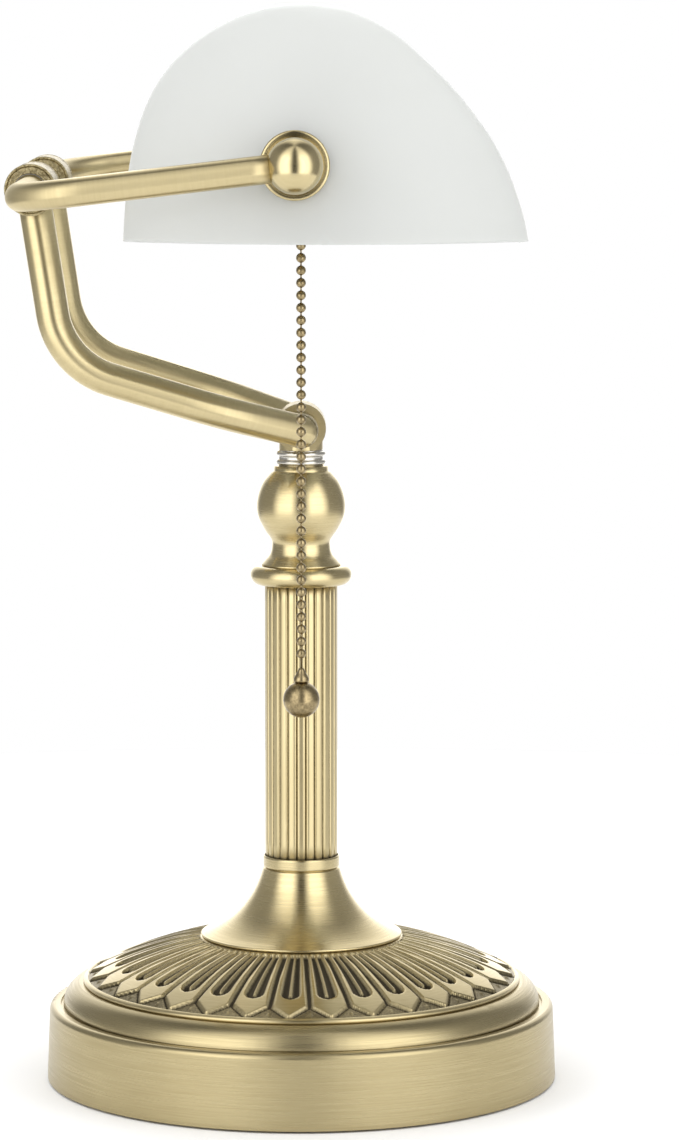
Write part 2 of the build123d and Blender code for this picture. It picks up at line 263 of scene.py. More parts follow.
def turned(name, outline, centre=(0, 0, 0), axis="Z", columns=160, closed=True, shape=None, depth=None):
    """A turned piece: an outline of (radius, distance along the axis) revolved about Z or X."""
    outline = np.asarray(outline, float)
    angle = np.arange(columns) * TURN / columns
    r, along = outline[None, :, 0], outline[None, :, 1]
    if shape is not None:
        r, along, depth = shape(angle[:, None], r, along)
    ca, sa = np.cos(angle)[:, None], np.sin(angle)[:, None]
    if axis == "Z":
        points = np.stack([r * ca, r * sa, along + 0 * ca], axis=2)
    else:
        points = np.stack([along + 0 * ca, r * ca, r * sa], axis=2)
    looped = np.concatenate([outline, outline[:1]]) if closed else outline
    v = np.concatenate([[0], np.cumsum(np.linalg.norm(np.diff(looped, axis=0), axis=1))])
    u = np.arange(columns + 1) * TURN / columns * max(outline[:, 0].max(), 1e-4)
    uv = np.stack(np.meshgrid(u, v, indexing="ij"), axis=2)
    lay = np.stack([r * ca, r * sa, v[None, :len(outline)] + 0 * ca], axis=2)
    return grid_piece(name, points + np.asarray(centre, float), uv, (True, closed), depth, lay)


def tube(name, path, radius, steady, ring=40, bore=0.0):
    """A round tube: circles square to the path, turned so that one axis stays nearest the steady way.

    With a bore, the outline at each end runs inwards and back through the tube, so the wall is closed.
    """
    length = np.concatenate([[0], np.cumsum(np.linalg.norm(np.diff(path, axis=0), axis=1))])
    tangent = np.gradient(path, length, axis=0)
    tangent /= np.linalg.norm(tangent, axis=1, keepdims=True)
    side = np.asarray(steady, float) - (tangent @ np.asarray(steady, float))[:, None] * tangent
    side /= np.linalg.norm(side, axis=1, keepdims=True)
    other = np.cross(tangent, side)
    angle = np.arange(ring) * TURN / ring
    ca, sa = np.cos(angle)[:, None, None], np.sin(angle)[:, None, None]
    way = side[None] * ca + other[None] * sa
    outer = path[None] + np.reshape(radius, (1, -1, 1)) * way
    ends = (path[None, :1] + 0 * way[:, :1], path[None, -1:] + 0 * way[:, -1:])
    if bore:
        inner = (path[None] + bore * way)[:, ::-1]
        points, v = np.concatenate([outer, inner], axis=1), np.concatenate([length, length[::-1], length[:1]])
    else:
        points = np.concatenate([ends[0], outer, ends[1]], axis=1)
        v = np.concatenate([length[:1], length, length[-1:]])
    u = np.arange(ring + 1) * TURN / ring * np.max(radius)
    uv = np.stack(np.meshgrid(u, v, indexing="ij"), axis=2)
    rows = points.shape[1]
    flat = np.max(radius) + 0 * v[None, :rows, None]
    lay = np.concatenate([flat * ca, flat * sa, v[None, :rows, None] + 0 * ca], axis=2)
    return grid_piece(name, points, uv, (True, bool(bore)), lay=lay)


def add_piece(obj, body, material, slot, *nodes):
    """Gives a finished piece its material and its body, and hides the CAD nodes that it stands for."""
    obj.data.materials.clear()
    obj.data.materials.append(material)
    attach(obj, body)
    if nodes:
        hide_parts(*nodes)
    return obj


# ---------------------------------------------------------------- finishes


class Finish:
    """A node-based material: a Principled shader and the nodes that feed it."""

    def __init__(self, name):
        self.material = bpy.data.materials.new(name)
        self.material.use_nodes = True
        self.tree = self.material.node_tree
        self.shader = self.tree.nodes["Principled BSDF"]

    def node(self, kind, values=None, **settings):
        """Adds a shader node, sets it, and feeds its sockets."""
        made = self.tree.nodes.new(kind)
        for key, value in settings.items():
            setattr(made, key, value)
        for key, value in (values or {}).items():
            self.feed(made.inputs[key], value)
        return made

    def feed(self, socket, value):
        """Links another node's output to a socket, or sets the socket to a constant."""
        if isinstance(value, bpy.types.NodeSocket):
            self.tree.links.new(value, socket)
        else:
            socket.default_value = value

    def set(self, **values):
        """Feeds the shader's own sockets by name."""
        for key, value in values.items():
            self.feed(self.shader.inputs[key.replace("_", " ")], value)
        return self

    def lay(self):
        """The piece's own brushing space: across the lay on x and y, along it on z, in metres."""
        return self.node("ShaderNodeAttribute", attribute_name="lay").outputs["Vector"]

    def place(self):
        """The piece's own coordinates, in metres."""
        return self.node("ShaderNodeTexCoord").outputs["Object"]

    def upright(self):
        """The brushing space of a CAD piece turned about Z: x, y, and height less distance from the axis."""
        place = self.place()
        flat = self.node("ShaderNodeVectorMath", {0: place, 1: (1, 1, 0)}, operation="MULTIPLY")
        away = self.node("ShaderNodeVectorMath", {0: flat.outputs[0]}, operation="LENGTH")
        apart = self.node("ShaderNodeSeparateXYZ", {0: place})
        height = self.node("ShaderNodeMath", {0: apart.outputs[2], 1: away.outputs[1]}, operation="SUBTRACT")
        joined = self.node("ShaderNodeCombineXYZ",
                           {0: apart.outputs[0], 1: apart.outputs[1], 2: height.outputs[0]})
        return joined.outputs[0]

    def noise(self, vector, stretch, detail=2.0, rough=0.5):
        """Noise whose grain is stretch metres long on each axis."""
        scale = tuple(1 / s for s in stretch)
        mapped = self.node("ShaderNodeMapping", {"Vector": vector, "Scale": scale})
        made = self.node("ShaderNodeTexNoise", {"Vector": mapped.outputs[0], "Scale": 1.0, "Detail": detail,
                                                "Roughness": rough})
        return made.outputs["Fac"]

    def ramp(self, fac, *stops):
        """Grey value by fac: stops are (position, value)."""
        made = self.node("ShaderNodeMapRange", {0: fac, 1: stops[0][0], 2: stops[-1][0], 3: stops[0][1],
                                                4: stops[-1][1]})
        return made.outputs[0]

    def mix(self, fac, first, second):
        """Blends two colours by fac."""
        made = self.node("ShaderNodeMix", {0: fac}, data_type="RGBA")
        self.feed(made.inputs[6], first)
        self.feed(made.inputs[7], second)
        return made.outputs[2]

    def bump(self, height, strength, distance, after=None):
        """A bump of so many metres, laid over the one before it."""
        made = self.node("ShaderNodeBump", {"Height": height, "Strength": strength, "Distance": distance})
        if after is not None:
            self.feed(made.inputs["Normal"], after)
        return made.outputs[0]


def rgba(colour, share=1.0):
    """A colour made lighter or darker by a share, with full cover."""
    return tuple(min(c * share, 1.0) for c in colour) + (1.0,)


def brushed_brass(name, space="lay", streak=(0.016, 0.016, 0.00035), tone=1.0, rough=(0.22, 0.36), grain=0.25,
                  contrast=0.8, anisotropy=0.85, pale=0.0):
    """Antique brass: lighter and darker streaks along the lay, uneven gloss, and a slow tarnish."""
    f, c = Finish(name), colours()
    light = [b + pale * (0.70 - b) for b in c.brass]
    deep = [b + pale * (0.42 - b) for b in c.brass_dark]
    vector = {"lay": f.lay, "upright": f.upright, "place": f.place}[space]()
    lines = f.noise(vector, streak, 3.0, 0.65)
    fine = f.noise(vector, tuple(s * k for s, k in zip(streak, (0.6, 0.6, 0.3))), 1.0)
    cloud = f.noise(f.place(), (0.03, 0.03, 0.03), 2.0)
    colour = f.mix(f.ramp(lines, (0.3, 1 - contrast), (0.7, 1.0)), rgba(deep, tone), rgba(light, tone))
    colour = f.mix(f.ramp(cloud, (0.3, 0.0), (0.75, 0.28)), colour, rgba(deep, tone))
    f.set(Base_Color=colour, Metallic=1.0, Roughness=f.ramp(lines, (0.3, rough[1]), (0.7, rough[0])))
    first = f.bump(lines, grain, 0.00006)
    f.set(Normal=f.bump(fine, grain, 0.00003, first))
    if space == "lay" and anisotropy:
        tangent = f.node("ShaderNodeTangent", direction_type="UV_MAP", uv_map="brush")
        f.set(Anisotropic=anisotropy, Anisotropic_Rotation=0.25, Tangent=tangent.outputs[0])
    return f


def relief_brass(name, streak=(0.008, 0.008, 0.0004), contrast=0.6):
    """Brass with dark patina lying in its hollows, by the depth attribute, and a cast grain there."""
    f, c = brushed_brass(name, streak=streak, rough=(0.20, 0.28), grain=0.06, contrast=contrast), colours()
    polished = f.shader.inputs["Base Color"].links[0].from_socket
    depth = f.node("ShaderNodeAttribute", attribute_name="depth").outputs["Fac"]
    speckle = f.noise(f.place(), (0.0006, 0.0006, 0.0006), 3.0)
    spread = f.ramp(speckle, (0.2, -0.18), (0.8, 0.18))
    hollow = f.node("ShaderNodeMath", {0: depth, 1: spread}, operation="ADD")
    dark = f.ramp(hollow.outputs[0], (0.22, 0.0), (0.85, 0.93))
    f.set(Base_Color=f.mix(dark, polished, rgba(c.patina)))
    f.set(Roughness=f.ramp(dark, (0.0, 0.30), (1.0, 0.62)))
    return f


def cast_brass(name, tone=0.8):
    """Sand-cast brass: small pits and lumps, brown in the pits."""
    f, c = Finish(name), colours()
    lumps = f.noise(f.place(), (0.0011, 0.0011, 0.0011), 3.0, 0.6)
    pits = f.node("ShaderNodeTexVoronoi", {"Vector": f.place(), "Scale": 900.0}).outputs["Distance"]
    deep, light = rgba(c.brass_dark, tone * 0.55), rgba(c.brass, tone)
    colour = f.mix(f.ramp(lumps, (0.32, 0.0), (0.62, 1.0)), deep, light)
    f.set(Base_Color=colour, Metallic=1.0, Roughness=f.ramp(lumps, (0.3, 0.46), (0.7, 0.27)))
    f.set(Normal=f.bump(pits, 0.35, 0.0002, f.bump(lumps, 0.7, 0.0005)))
    return f


def plain_metal(name, colour, dark, rough, grain=(0.0015, 0.0015, 0.0015), strength=0.25):
    """Plated or rolled metal: cloudy gloss and a slight grain."""
    f = Finish(name)
    cloud = f.noise(f.place(), grain, 4.0, 0.6)
    f.set(Base_Color=f.mix(f.ramp(cloud, (0.3, 0.0), (0.7, 1.0)), rgba(dark), rgba(colour)), Metallic=1.0,
          Roughness=f.ramp(cloud, (0.3, rough[1]), (0.7, rough[0])), Normal=f.bump(cloud, strength, 0.0001))
    return f


def plain_stuff(name, colour, dark, rough, grain, strength, distance=0.0002, **more):
    """Felt, rubber, fibre or plastic: two tones of one colour by its grain, and a bump of the grain."""
    f = Finish(name)
    cloud = f.noise(f.place(), grain, 5.0, 0.65)
    f.set(Base_Color=f.mix(f.ramp(cloud, (0.3, 0.0), (0.7, 1.0)), rgba(dark), rgba(colour)),
          Roughness=f.ramp(cloud, (0.3, rough[1]), (0.7, rough[0])),
          Normal=f.bump(cloud, strength, distance), **more)
    return f


def opal_glass():
    """Milky cased glass: light goes into it a little way, the skin is satin with a faint ripple."""
    f, c = Finish("opal_glass"), colours()
    cloud = f.noise(f.place(), (0.05, 0.05, 0.05), 2.0)
    frost = f.noise(f.place(), (0.0005, 0.0005, 0.0005), 2.0)
    f.set(Base_Color=f.mix(f.ramp(cloud, (0.3, 0.0), (0.7, 1.0)), rgba(c.glass, 0.985), rgba(c.glass, 1.015)),
          Roughness=f.ramp(frost, (0.3, 0.34), (0.7, 0.46)), Normal=f.bump(frost, 0.08, 0.00005),
          Subsurface_Weight=0.35, Subsurface_Radius=(1.0, 1.0, 0.95), Subsurface_Scale=0.006, IOR=1.5,
          Coat_Weight=0.15, Coat_Roughness=0.25)
    return f


def bulb_glass():
    """Clear glass of the tubular bulb, slightly smoky at its cap end."""
    f = Finish("bulb_glass")
    apart = f.node("ShaderNodeSeparateXYZ", {0: f.place()}).outputs[0]
    smoke = f.ramp(apart, (-0.052, 0.80), (-0.030, 0.97))
    f.set(Base_Color=f.mix(smoke, (0.55, 0.5, 0.42, 1), (1, 1, 1, 1)), Transmission_Weight=1.0,
          Roughness=0.04, IOR=1.45)
    return f


FINISHES = {}


def make_finishes():
    """All materials by name, and the one for each of the record's slots on kept CAD nodes."""
    c = colours()
    steel, steel_dark = (0.55, 0.56, 0.58), (0.38, 0.39, 0.42)
    FINISHES.update({
        # The foot's brass is a darker copy of the brass (tone 0.80): painted shade on the foot's wall.
        "foot": brushed_brass("foot_brass_painted_shade", "upright", (0.03, 0.03, 0.0003), 0.80, (0.24, 0.36), 0.16, 0.6),
        # The skirt's brass is a lighter copy of the brass (tone 1.12): painted light on the skirt under the
        # dome.
        "spun": brushed_brass("spun_brass_painted_light", streak=(0.022, 0.022, 0.0003), tone=1.12, rough=(0.24, 0.34),
                              grain=0.12, contrast=0.6),
        "turned": brushed_brass("turned_brass", streak=(0.014, 0.014, 0.00025), rough=(0.21, 0.29),
                                grain=0.06, contrast=0.4),
        "ball": brushed_brass("ball_brass", streak=(0.014, 0.014, 0.0004), rough=(0.18, 0.25), grain=0.03,
                              contrast=0.2, anisotropy=0.0),
        "neck": brushed_brass("pale_neck_brass", streak=(0.014, 0.014, 0.00025), rough=(0.16, 0.24),
                              grain=0.05, contrast=0.3, pale=0.7),
        "tube": brushed_brass("tube_brass", streak=(0.016, 0.016, 0.0008), rough=(0.29, 0.35), grain=0.02,
                              contrast=0.16, anisotropy=0.9),
        "plain": brushed_brass("plain_brass", "place", (0.0012, 0.0012, 0.0012), 0.95, (0.34, 0.44),
                               0.08, 0.4),
        "reed": relief_brass("reeded_brass", (0.003, 0.003, 0.02), 0.2),
        "relief": relief_brass("relief_brass"),
        "cast": cast_brass("cast_brass"),
        "collar": plain_metal("dark_collar_brass", tuple(x * 0.55 for x in c.brass),
                              tuple(x * 0.4 for x in c.brass_dark), (0.28, 0.42)),
        "bronze": plain_metal("dark_bronze", c.bronze, tuple(x * 0.45 for x in c.bronze), (0.26, 0.38),
                              (0.0012, 0.0012, 0.0012), 0.15),
        "steel": plain_metal("zinc_steel", steel, steel_dark, (0.25, 0.42)),
        "iron": plain_stuff("cast_iron", (0.075, 0.075, 0.08), (0.03, 0.03, 0.033), (0.6, 0.8),
                            (0.002, 0.002, 0.002), 0.6, 0.0004, Metallic=0.7),
        "nickel": plain_metal("nickel", (0.72, 0.70, 0.66), (0.55, 0.53, 0.50), (0.12, 0.25)),
        "copper": plain_metal("copper", (0.80, 0.42, 0.26), (0.55, 0.26, 0.15), (0.25, 0.4)),
        "filament": plain_metal("filament", (0.45, 0.43, 0.40), (0.30, 0.29, 0.27), (0.3, 0.5)),
        "rubber": plain_stuff("rubber", (0.035, 0.035, 0.035), (0.015, 0.015, 0.015), (0.5, 0.7),
                              (0.001, 0.001, 0.001), 0.2),
        "felt": plain_stuff("felt", (0.030, 0.060, 0.036), (0.012, 0.028, 0.016), (0.9, 1.0),
                            (0.0006, 0.0006, 0.002), 0.9, 0.0004, Sheen_Weight=0.5, Sheen_Roughness=0.5),
        "plastic": plain_stuff("dark_plastic", (0.030, 0.026, 0.024), (0.018, 0.016, 0.015), (0.30, 0.45),
                               (0.0008, 0.0008, 0.0008), 0.15),
        "fibre": plain_stuff("fibre", (0.45, 0.33, 0.20), (0.33, 0.23, 0.13), (0.75, 0.9),
                             (0.0008, 0.003, 0.003), 0.4),
        "wire": plain_stuff("lead_wire", (0.55, 0.42, 0.12), (0.42, 0.31, 0.08), (0.4, 0.55),
                            (0.001, 0.001, 0.001), 0.2),
        "opal": opal_glass(),
        "bulb": bulb_glass(),
    })
    by_slot = {
        "antique_brass": "plain", "relief_brass": "relief", "cast_brass": "cast", "dark_brass": "collar",
        "dark_bronze": "bronze", "zinc_steel": "steel", "cast_iron": "iron", "opal_glass": "opal",
        "rubber": "rubber", "felt": "felt", "dark_plastic": "plastic", "fibre": "fibre",
        "copper": "copper", "lead_wire": "wire", "nickel": "nickel", "bulb_glass": "bulb",
        "filament": "filament"}
    by_node = {"base_shell": "foot", "knuckle_washers": "plain"}
    for row in frame["record"]["subparts"]:
        look = by_node.get(row["node"], by_slot[row["material_slot"]])
        node = frame["nodes"][row["node"]]
        node.data.materials.clear()
        node.data.materials.append(FINISHES[look].material)


def finish_of(name):
    """Material of a finish, by its short name."""
    return FINISHES[name].material


# ---------------------------------------------------------------- operators


def soft_step(value, width):
    """0 below zero, 1 above width, eased between."""
    t = np.clip(value / width, 0, 1)
    return t * t * (3 - 2 * t)


class Piece(bpy.types.Operator):
    """Makes pieces of the lamp"""

    bl_options = {"REGISTER", "UNDO"}


class LAMP_OT_stage(Piece):
    """Camera, pale floor, studio surroundings and soft lights"""

    bl_idname = "lamp.stage"
    bl_label = "Stage"

    def execute(self, context):
        scene = context.scene
        scene.view_settings.view_transform = "Standard"
        pitch, yaw = math.radians(6.659), math.radians(-0.511)
        camera = bpy.data.objects.new("camera", bpy.data.cameras.new("camera"))
        camera.data.sensor_width, camera.data.lens = 36.0, 147.883
        camera.data.clip_end = 30.0
        camera.location = (-1.633, 0.001087, 0.37125)
        ahead = Vector((math.cos(pitch) * math.cos(yaw), math.cos(pitch) * math.sin(yaw), -math.sin(pitch)))
        camera.rotation_mode = "QUATERNION"
        camera.rotation_quaternion = ahead.to_track_quat("-Z", "Y")
        scene.collection.objects.link(camera)
        scene.camera = camera
        self.floor(scene)
        self.surroundings(scene)
        aim = (CAD_BOX[0] + CAD_BOX[1]) / 2
        for name, place, size, power in (
                ("left_box", (-0.55, 1.0, 0.75), (0.7, 1.3), 3.0),
                ("right_box", (-0.55, -1.0, 0.75), (0.7, 1.3), 3.0),
                ("top_box", (0.0, 0.0, 1.5), (1.2, 1.2), 5.0),
                ("back_box", (1.1, 0.2, 0.8), (1.0, 1.0), 3.0)):
            lamp = bpy.data.lights.new(name, "AREA")
            lamp.shape, lamp.size, lamp.size_y, lamp.energy = "RECTANGLE", size[0], size[1], power
            obj = bpy.data.objects.new(name, lamp)
            obj.location = place
            obj.rotation_mode = "QUATERNION"
            obj.rotation_quaternion = (aim - Vector(place)).to_track_quat("-Z", "Y")
            obj.visible_glossy = False
            scene.collection.objects.link(obj)
        return {"FINISHED"}

    def floor(self, scene):
        """A pale round floor, level with the felt's underside."""
        mesh = bpy.data.meshes.new("floor")
        angle = np.arange(96) * TURN / 96
        rim = 0.75 * np.stack([np.cos(angle), np.sin(angle), 0 * angle], axis=1)
        mesh.from_pydata(rim.tolist(), [], [list(range(96))])
        obj = bpy.data.objects.new("floor", mesh)
        scene.collection.objects.link(obj)
        f = Finish("floor_paper")
        grain = f.noise(f.place(), (0.004, 0.004, 0.004), 3.0)
        colour = colours().floor
        f.set(Base_Color=f.mix(grain, rgba(colour, 0.99), rgba(colour)), Roughness=0.9,
              Specular_IOR_Level=0.1)
        obj.data.materials.append(f.material)

    def surroundings(self, scene):
        """White behind the lamp. In reflections, two tall soft boxes stand beside a dark gap towards -X.

        Their brightness is a ramp of the angle from -X, dimmed overhead.
        """
        world = bpy.data.worlds.new("studio")
        scene.world = world
        world.use_nodes = True
        tree = world.node_tree
        tree.nodes.clear()

        def node(kind, values=None, **settings):
            made = tree.nodes.new(kind)
            for key, value in settings.items():
                setattr(made, key, value)
            for key, value in (values or {}).items():
                if isinstance(value, bpy.types.NodeSocket):
                    tree.links.new(value, made.inputs[key])
                else:
                    made.inputs[key].default_value = value
            return made

        way = node("ShaderNodeSeparateXYZ", {0: node("ShaderNodeTexCoord").outputs["Generated"]})
        back = node("ShaderNodeMath", {0: way.outputs[0], 1: -1.0}, operation="MULTIPLY")
        aside = node("ShaderNodeMath", {0: way.outputs[1]}, operation="ABSOLUTE")
        turn = node("ShaderNodeMath", {0: aside.outputs[0], 1: back.outputs[0]}, operation="ARCTAN2")
        share = node("ShaderNodeMath", {0: turn.outputs[0], 1: math.pi}, operation="DIVIDE")
        ramp = node("ShaderNodeValToRGB", {0: share.outputs[0]})
        greys = ((0, 0.02), (8, 0.03), (17, 0.50), (28, 1.0), (58, 0.88), (80, 0.15),
                 (138, 0.13), (172, 0.80))
        stops = ramp.color_ramp.elements
        stops[0].position, stops[1].position = 0.0, 1.0
        for _ in greys[2:]:
            stops.new(0.5)
        for stop, (degrees, grey) in zip(stops, greys):
            stop.position, stop.color = degrees / 180, (grey, grey, grey, 1)
        high_up = node("ShaderNodeMapRange", {0: way.outputs[2], 1: 0.55, 2: 0.95, 3: 2.7, 4: 1.3})
        path = node("ShaderNodeLightPath")
        room = node("ShaderNodeBackground", {0: ramp.outputs[0], 1: high_up.outputs[0]})
        even = node("ShaderNodeBackground", {0: (1, 1, 1, 1), 1: 0.98})
        seen = node("ShaderNodeBackground", {0: (1, 1, 1, 1), 1: 1.0})
        lit = node("ShaderNodeMixShader",
                   {0: path.outputs["Is Glossy Ray"], 1: even.outputs[0], 2: room.outputs[0]})
        shown = node("ShaderNodeMixShader",
                     {0: path.outputs["Is Camera Ray"], 1: lit.outputs[0], 2: seen.outputs[0]})
        node("ShaderNodeOutputWorld", {0: shown.outputs[0]})


class LAMP_OT_finishes(Piece):
    """Materials for every piece and every CAD node that stays"""

    bl_idname = "lamp.finishes"
    bl_label = "Finishes"

    def execute(self, context):
        make_finishes()
        return {"FINISHED"}


class LAMP_OT_dome(Piece):
    """Cast dome with a ring of petals in relief"""

    bl_idname = "lamp.dome"
    bl_label = "Petal dome"

    def execute(self, context):
        base = low("petal_dome")[2] / MM
        top = high("petal_dome")[2] / MM
        arc = arc_through((76.6, base + 1.6), (55.0, base + 10.9), (33.0, top), 125)
        outline = np.concatenate([
            arc_through((76.8, base), (77.2, base + 0.8), (76.6, base + 1.6), 6)[:-1], arc,
            [(5.0, top), (5.0, top - 2), (31.0, top - 2.0)],
            arc_through((31.0, top - 2.0), (53.0, base + 8.8), (73.0, base), 9)[1:]]) * MM
        first = 5
        count = sizes().petals

        def relief(angle, r, along):
            """Lowers the dome by the relief's depth times one less the level, which is 0 in a groove.

            A petal fills its share of the circle less a gap, and narrows to a point from shoulder to tip.
            Inside it is a hollow with a round end, and in the hollow a rib with a round end. Each edge is a
            distance put through the eased step. A sunk field with a low ridge lies between the tips.
            """
            pitch = TURN / count
            offset = (angle - sizes().petal_turn + pitch / 2) % pitch - pitch / 2
            rr = r / MM
            s, half = np.abs(offset) * rr, pitch / 2 * rr
            out = np.clip((rr - 36.0) / 34.0, 0, 1)
            shoulder, tip, end = 69.8, 75.3, 63.0
            gap, rail = 0.6 - 0.1 * out, 1.15 + 1.6 * out
            side = half - gap
            side = np.where(rr > shoulder, (pitch / 2 * shoulder - 0.5) * (tip - rr) / (tip - shoulder), side)
            frame_in = side - s
            hollow = np.maximum(half - gap - rail, 0.25)
            hollow_end = 3.22
            in_hollow = np.where(rr < end, hollow - s, hollow_end - np.hypot(s, np.maximum(rr - end, 0)))
            rib_end = 63.2
            rib_wide = 0.60 + 0.28 * out
            in_rib = np.where(rr < rib_end, rib_wide - s, rib_wide - np.hypot(s, np.maximum(rr - rib_end, 0)))
            rise = soft_step(frame_in, 0.5) * (1 - soft_step(in_hollow + 0.1, 0.5))
            rib = soft_step(in_rib, 0.5) * 0.9
            level = np.maximum(rise, rib)
            between = (rr > shoulder) & (frame_in < 0)
            ridge = soft_step(1.0 - (half - s) / 0.55 - np.abs(rr - 73.2) / 2.0, 0.8) * 0.35
            field = 0.42 * soft_step(-frame_in, 1.2) + ridge
            level = np.where(between, np.maximum(level, field), level)
            rim = soft_step(rr - tip, 0.5)
            level = level * (1 - rim) + rim
            neck = soft_step(37.0 - rr, 1.5)
            level = level * (1 - neck) + neck
            rows = np.arange(r.shape[1])
            carved = ((rows >= first) & (rows < first + len(arc) - 1) & (r[0] > 0.0335))[None]
            sunk = np.where(carved, 1 - level, 0.0)
            return r + 0 * sunk, along - sizes().relief * sunk, sunk

        piece = turned("petal_relief", outline, columns=count * 24, shape=relief)
        add_piece(piece, "base", finish_of("relief"), "relief_brass", "petal_dome")
        return {"FINISHED"}


class LAMP_OT_foot_trim(Piece):
    """Bell skirt and the ring under the column, spun from sheet"""

    bl_idname = "lamp.foot_trim"
    bl_label = "Skirt and ring"

    def execute(self, context):
        z = low("bell_skirt")[2] / MM
        bell = smooth_curve([(35.0, z + 0.9), (31.2, z + 2.4), (27.1, z + 4.6), (23.5, z + 7.2),
                             (20.5, z + 10.3), (18.2, z + 13.4), (16.5, z + 16.2), (15.2, z + 19.0),
                             (14.2, z + 21.7), (13.5, z + 24.0)], 8)
        outline = np.concatenate([
            arc_through((35.2, z), (35.5, z + 0.45), (35.05, z + 0.9), 7)[:-1], bell, [(5.0, z + 24.0)],
            [(5.0, z + 21.5), (11.6, z + 21.5)],
            arc_through((11.6, z + 21.5), (18.6, z + 9.0), (32.6, z), 12)[1:]]) * MM
        piece = turned("spun_skirt", outline, columns=192)
        add_piece(piece, "base", finish_of("spun"), "antique_brass", "bell_skirt")
        z = low("column_ring")[2] / MM
        points = [(5.0, z), (12.7, z), (12.7, z + 0.35), (13.3, z + 0.45), (13.45, z + 0.9),
                  (13.45, z + 4.1), (13.0, z + 4.6), (12.85, z + 1.7), (5.0, z + 1.7)]
        piece = turned("seat_ring", rounded(np.array(points) * MM, 0.00025), columns=160)
        add_piece(piece, "base", finish_of("turned"), "antique_brass", "column_ring")
        return {"FINISHED"}


class LAMP_OT_column(Piece):
    """Reeded column: convex reeds side by side, with dark narrow grooves"""

    bl_idname = "lamp.column"
    bl_label = "Column"

    def execute(self, context):
        (z0, z1), outer = (low("fluted_column")[2], high("fluted_column")[2]), high("fluted_column")[0]
        rows = np.linspace(z0, z1, 14)
        outline = np.concatenate([np.stack([outer + 0 * rows, rows], 1),
                                  np.stack([0.0102 + 0 * rows, rows[::-1]], 1)])
        pitch = TURN / sizes().reeds

        def reeded(angle, r, along):
            """A flattened arc: with s from 0 to 1 at the groove, the drop is 1 - sqrt(1 - 0.985 s^4)."""
            s = np.abs((angle + pitch / 2) % pitch - pitch / 2) / (pitch / 2)
            sunk = np.where(r > outer - 1e-6, 1 - np.sqrt(np.clip(1 - 0.985 * s**4, 0, 1)), 0.0)
            return r - sizes().reed_depth * sunk, along + 0 * sunk, np.clip(sunk * 1.6 - 0.30, 0, 1)

        piece = turned("reeded_column", outline, columns=sizes().reeds * 18, shape=reeded)
        add_piece(piece, "base", finish_of("reed"), "antique_brass", "fluted_column")
        return {"FINISHED"}


class LAMP_OT_column_top(Piece):
    """Cap flange, vase and the two neck rings above the column"""

    bl_idname = "lamp.column_top"
    bl_label = "Column top"

    def execute(self, context):
        z = low("cap_flange")[2] / MM
        outline = np.concatenate([[(12.85, z), (15.2, z)],
                                  arc_through((15.6, z), (17.9, z + 3.1), (15.8, z + 6.4), 22),
                                  [(5.0, z + 6.4), (5.0, z + 2.0), (12.85, z + 2.0)]]) * MM
        piece = turned("cap_ring", outline, columns=160)
        add_piece(piece, "base", finish_of("turned"), "antique_brass", "cap_flange")
        z = low("vase")[2] / MM
        swell = smooth_curve([(13.7, z + 0.8), (12.4, z + 2.3), (10.9, z + 4.1), (10.3, z + 6.4),
                              (10.45, z + 9.0), (12.9, z + 12.7), (15.05, z + 17.0), (15.62, z + 21.2),
                              (14.9, z + 25.5), (13.1, z + 29.7), (10.45, z + 32.9)], 8)
        outline = np.concatenate([[(5.0, z), (13.6, z), (13.9, z + 0.15), (13.9, z + 0.6)], swell,
                                  [(9.6, z + 33.3), (9.5, z + 33.6), (9.5, z + 35.0), (5.0, z + 35.0)]]) * MM
        piece = turned("vase_turning", outline, columns=160)
        add_piece(piece, "base", finish_of("turned"), "antique_brass", "vase")
        z, top = low("neck_rings")[2] / MM, high("neck_rings")[2] / MM
        step = (top - z) / 2
        rings = [np.concatenate([
            [(7.9, b), (7.9, b + 0.6)], arc_through((7.95, b + 0.7), (8.8, b + 1.6), (7.95, b + 2.5), 12),
            [(7.9, b + 2.6)]]) for b in (z, z + step)]
        outline = np.concatenate([[(5.0, z)], *rings, [(7.9, top), (5.0, top)]]) * MM
        piece = turned("neck_turning", outline, columns=120)
        add_piece(piece, "base", finish_of("neck"), "antique_brass", "neck_rings")
        return {"FINISHED"}


